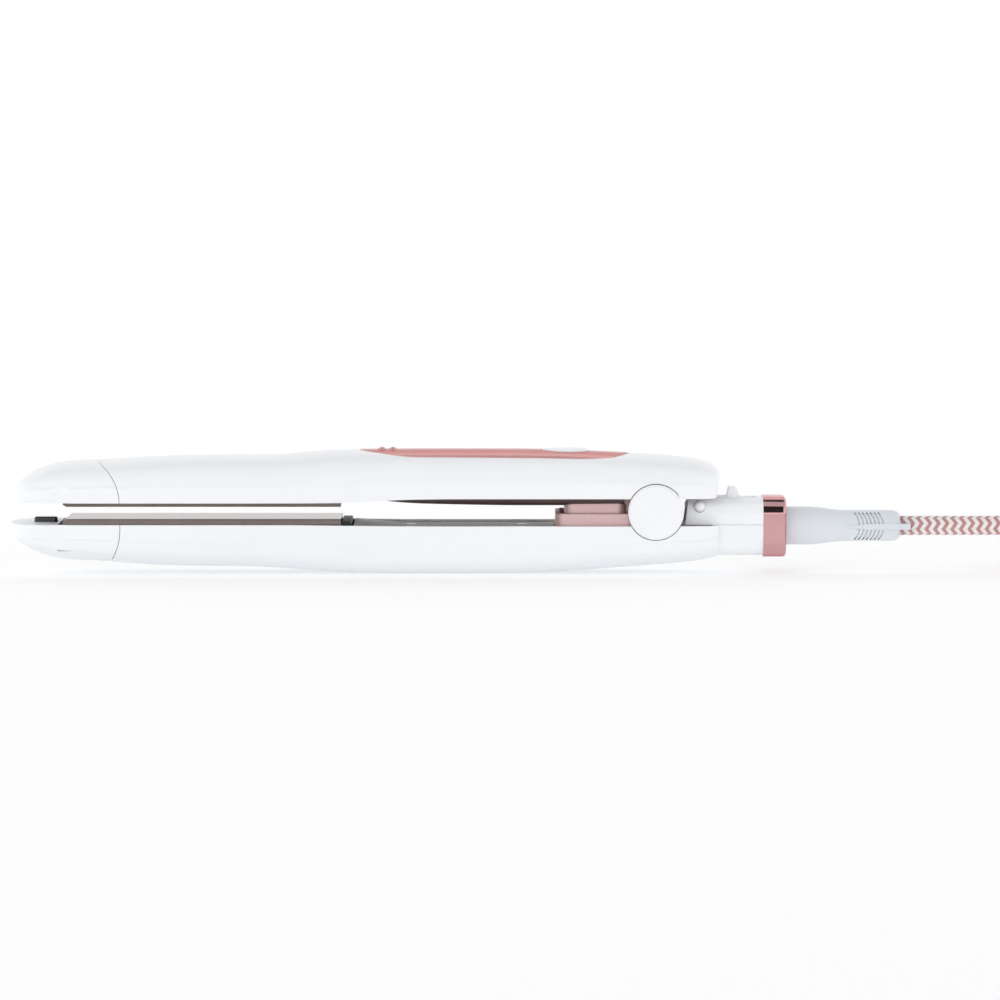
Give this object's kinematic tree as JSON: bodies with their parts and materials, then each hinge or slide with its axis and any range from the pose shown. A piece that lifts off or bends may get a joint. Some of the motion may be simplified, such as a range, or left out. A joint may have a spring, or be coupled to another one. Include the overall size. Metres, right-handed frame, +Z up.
{
  "type": "hair crimper",
  "caption": "Slim two-arm hair crimper with hinged jaws, sprung flat-faced heated plates, push buttons, a sliding lock, a swivel boot and a braided mains cord with a flat plug.",
  "frame": {"origin": "on the surface it rests on, under the middle of the tool without its cord", "axes": "+X from the tip to the cord exit along the tool, +Y across it, +Z up; the arms mirror about Y = 0"},
  "size_m": [0.5346, 0.0636, 0.0449],
  "materials": {
    "white_shell": "smooth white moulded shell",
    "rose_trim": "brushed rose-gold trim",
    "rose_chrome": "polished rose-gold ring",
    "hinge_pink": "satin pink hinge blocks",
    "taupe_panel": "grey-taupe inner cover",
    "black_insulator": "heat-resistant black trays",
    "bumper_black": "glossy black stop pad",
    "plate_coating": "taupe ceramic coating on the heated plates",
    "heater_ceramic": "ceramic heaters",
    "spreader_metal": "plain sheet",
    "steel": "plain steel",
    "bronze": "sintered bronze bushes and contact rings",
    "board_green": "circuit board",
    "component_black": "moulded electronic parts",
    "lens_clear": "clear light pipe",
    "socket_nylon": "nylon bearing",
    "boot_rubber": "soft bluish-white boot",
    "cord_braid": "dusty rose and white zigzag braid",
    "tie_strap": "black hook-and-loop tie",
    "wire_insulation": "silicone-insulated leads"
  },
  "bodies": {
    "lower_arm": {"lower_housing": "white_shell", "lower_tip_cap": "white_shell", "tip_bumper": "bumper_black", "lower_inner_panel": "taupe_panel", "lower_plate_carrier": "black_insulator", "lower_float_springs": "steel", "lower_panel_screws": "steel", "lower_hinge_block": "hinge_pink", "hinge_pin": "steel", "hinge_cap_near": "white_shell", "hinge_cap_far": "white_shell", "opening_spring": "steel", "neck_cover": "white_shell", "collar_ring": "rose_chrome", "swivel_socket": "socket_nylon", "contact_rings": "bronze", "lower_wiring": "wire_insulation", "power_cord": "cord_braid", "power_cord_tail": "cord_braid", "cord_hank": "cord_braid", "cord_ties": "tie_strap", "plug_relief": "boot_rubber", "plug_body": "boot_rubber", "plug_blades": "bronze"},
    "upper_arm": {"upper_housing": "white_shell", "upper_tip_cap": "white_shell", "upper_inner_panel": "rose_trim", "upper_plate_carrier": "black_insulator", "upper_float_springs": "steel", "upper_panel_screws": "steel", "trim_panel": "rose_trim", "indicator_lens": "lens_clear", "circuit_board": "board_green", "board_screws": "steel", "power_switch": "component_black", "temperature_switches": "component_black", "control_chip": "component_black", "power_triac": "component_black", "upper_hinge_block": "hinge_pink", "hinge_bushes": "bronze", "upper_wiring": "wire_insulation"},
    "upper_plate_float": {"upper_plate": "plate_coating", "upper_heater": "heater_ceramic", "upper_heat_spreader": "spreader_metal", "thermal_fuse": "steel"},
    "lower_plate_float": {"lower_plate": "plate_coating", "lower_heater": "heater_ceramic", "lower_heat_spreader": "spreader_metal", "thermistor": "component_black"},
    "power_button": {"power_button": "white_shell"},
    "temperature_down_button": {"temperature_down_button": "rose_trim"},
    "temperature_up_button": {"temperature_up_button": "rose_trim"},
    "lock_slider": {"lock_slider": "white_shell"},
    "lock_pin_near": {"lock_pin_near": "white_shell"},
    "lock_pin_far": {"lock_pin_far": "white_shell"},
    "cord_swivel": {"cord_boot": "boot_rubber", "swivel_spindle": "steel", "retaining_clip": "steel"}
  },
  "joints": [
    {"name": "arm_hinge", "type": "hinge", "parent": "lower_arm", "child": "upper_arm", "pos_m": [0.0697, 0, 0.0227], "axis": [0, 1, 0], "range_deg": [-1.1, 14], "stiffness_Nm_per_rad": 0.35, "springref_deg": 11.46, "deforming": ["opening_spring"]},
    {"name": "upper_plate_float", "type": "slide", "parent": "upper_arm", "child": "upper_plate_float", "axis": [0, 0, 1], "range_m": [0, 0.0012], "stiffness_N_per_m": 800, "springref_m": -0.0015, "deforming": ["upper_float_springs"]},
    {"name": "lower_plate_float", "type": "slide", "parent": "lower_arm", "child": "lower_plate_float", "axis": [0, 0, -1], "range_m": [0, 0.0012], "stiffness_N_per_m": 800, "springref_m": -0.0015, "deforming": ["lower_float_springs"]},
    {"name": "power_button_press", "type": "slide", "parent": "upper_arm", "child": "power_button", "axis": [0, 0, -1], "range_m": [0, 0.0008], "stiffness_N_per_m": 600, "springref_m": -0.0005},
    {"name": "temperature_down_press", "type": "slide", "parent": "upper_arm", "child": "temperature_down_button", "axis": [0, 0, -1], "range_m": [0, 0.0006], "stiffness_N_per_m": 500, "springref_m": -0.0005},
    {"name": "temperature_up_press", "type": "slide", "parent": "upper_arm", "child": "temperature_up_button", "axis": [0, 0, -1], "range_m": [0, 0.0006], "stiffness_N_per_m": 500, "springref_m": -0.0005},
    {"name": "lock_slide", "type": "slide", "parent": "lower_arm", "child": "lock_slider", "axis": [1, 0, 0], "range_m": [0, 0.0047]},
    {"name": "lock_pin_near_slide", "type": "slide", "parent": "lower_arm", "child": "lock_pin_near", "axis": [0, 1, 0], "range_m": [0, 0.002]},
    {"name": "lock_pin_far_slide", "type": "slide", "parent": "lower_arm", "child": "lock_pin_far", "axis": [0, -1, 0], "range_m": [0, 0.002]},
    {"name": "cord_swivel_turn", "type": "hinge", "parent": "lower_arm", "child": "cord_swivel", "pos_m": [0.11, 0, 0.0166], "axis": [1, 0, 0], "continuous": true}
  ],
  "couplings": [
    {"joint": "lock_pin_near_slide", "follows": "lock_slide", "ratio": 0.4255},
    {"joint": "lock_pin_far_slide", "follows": "lock_slide", "ratio": 0.4255}
  ]
}
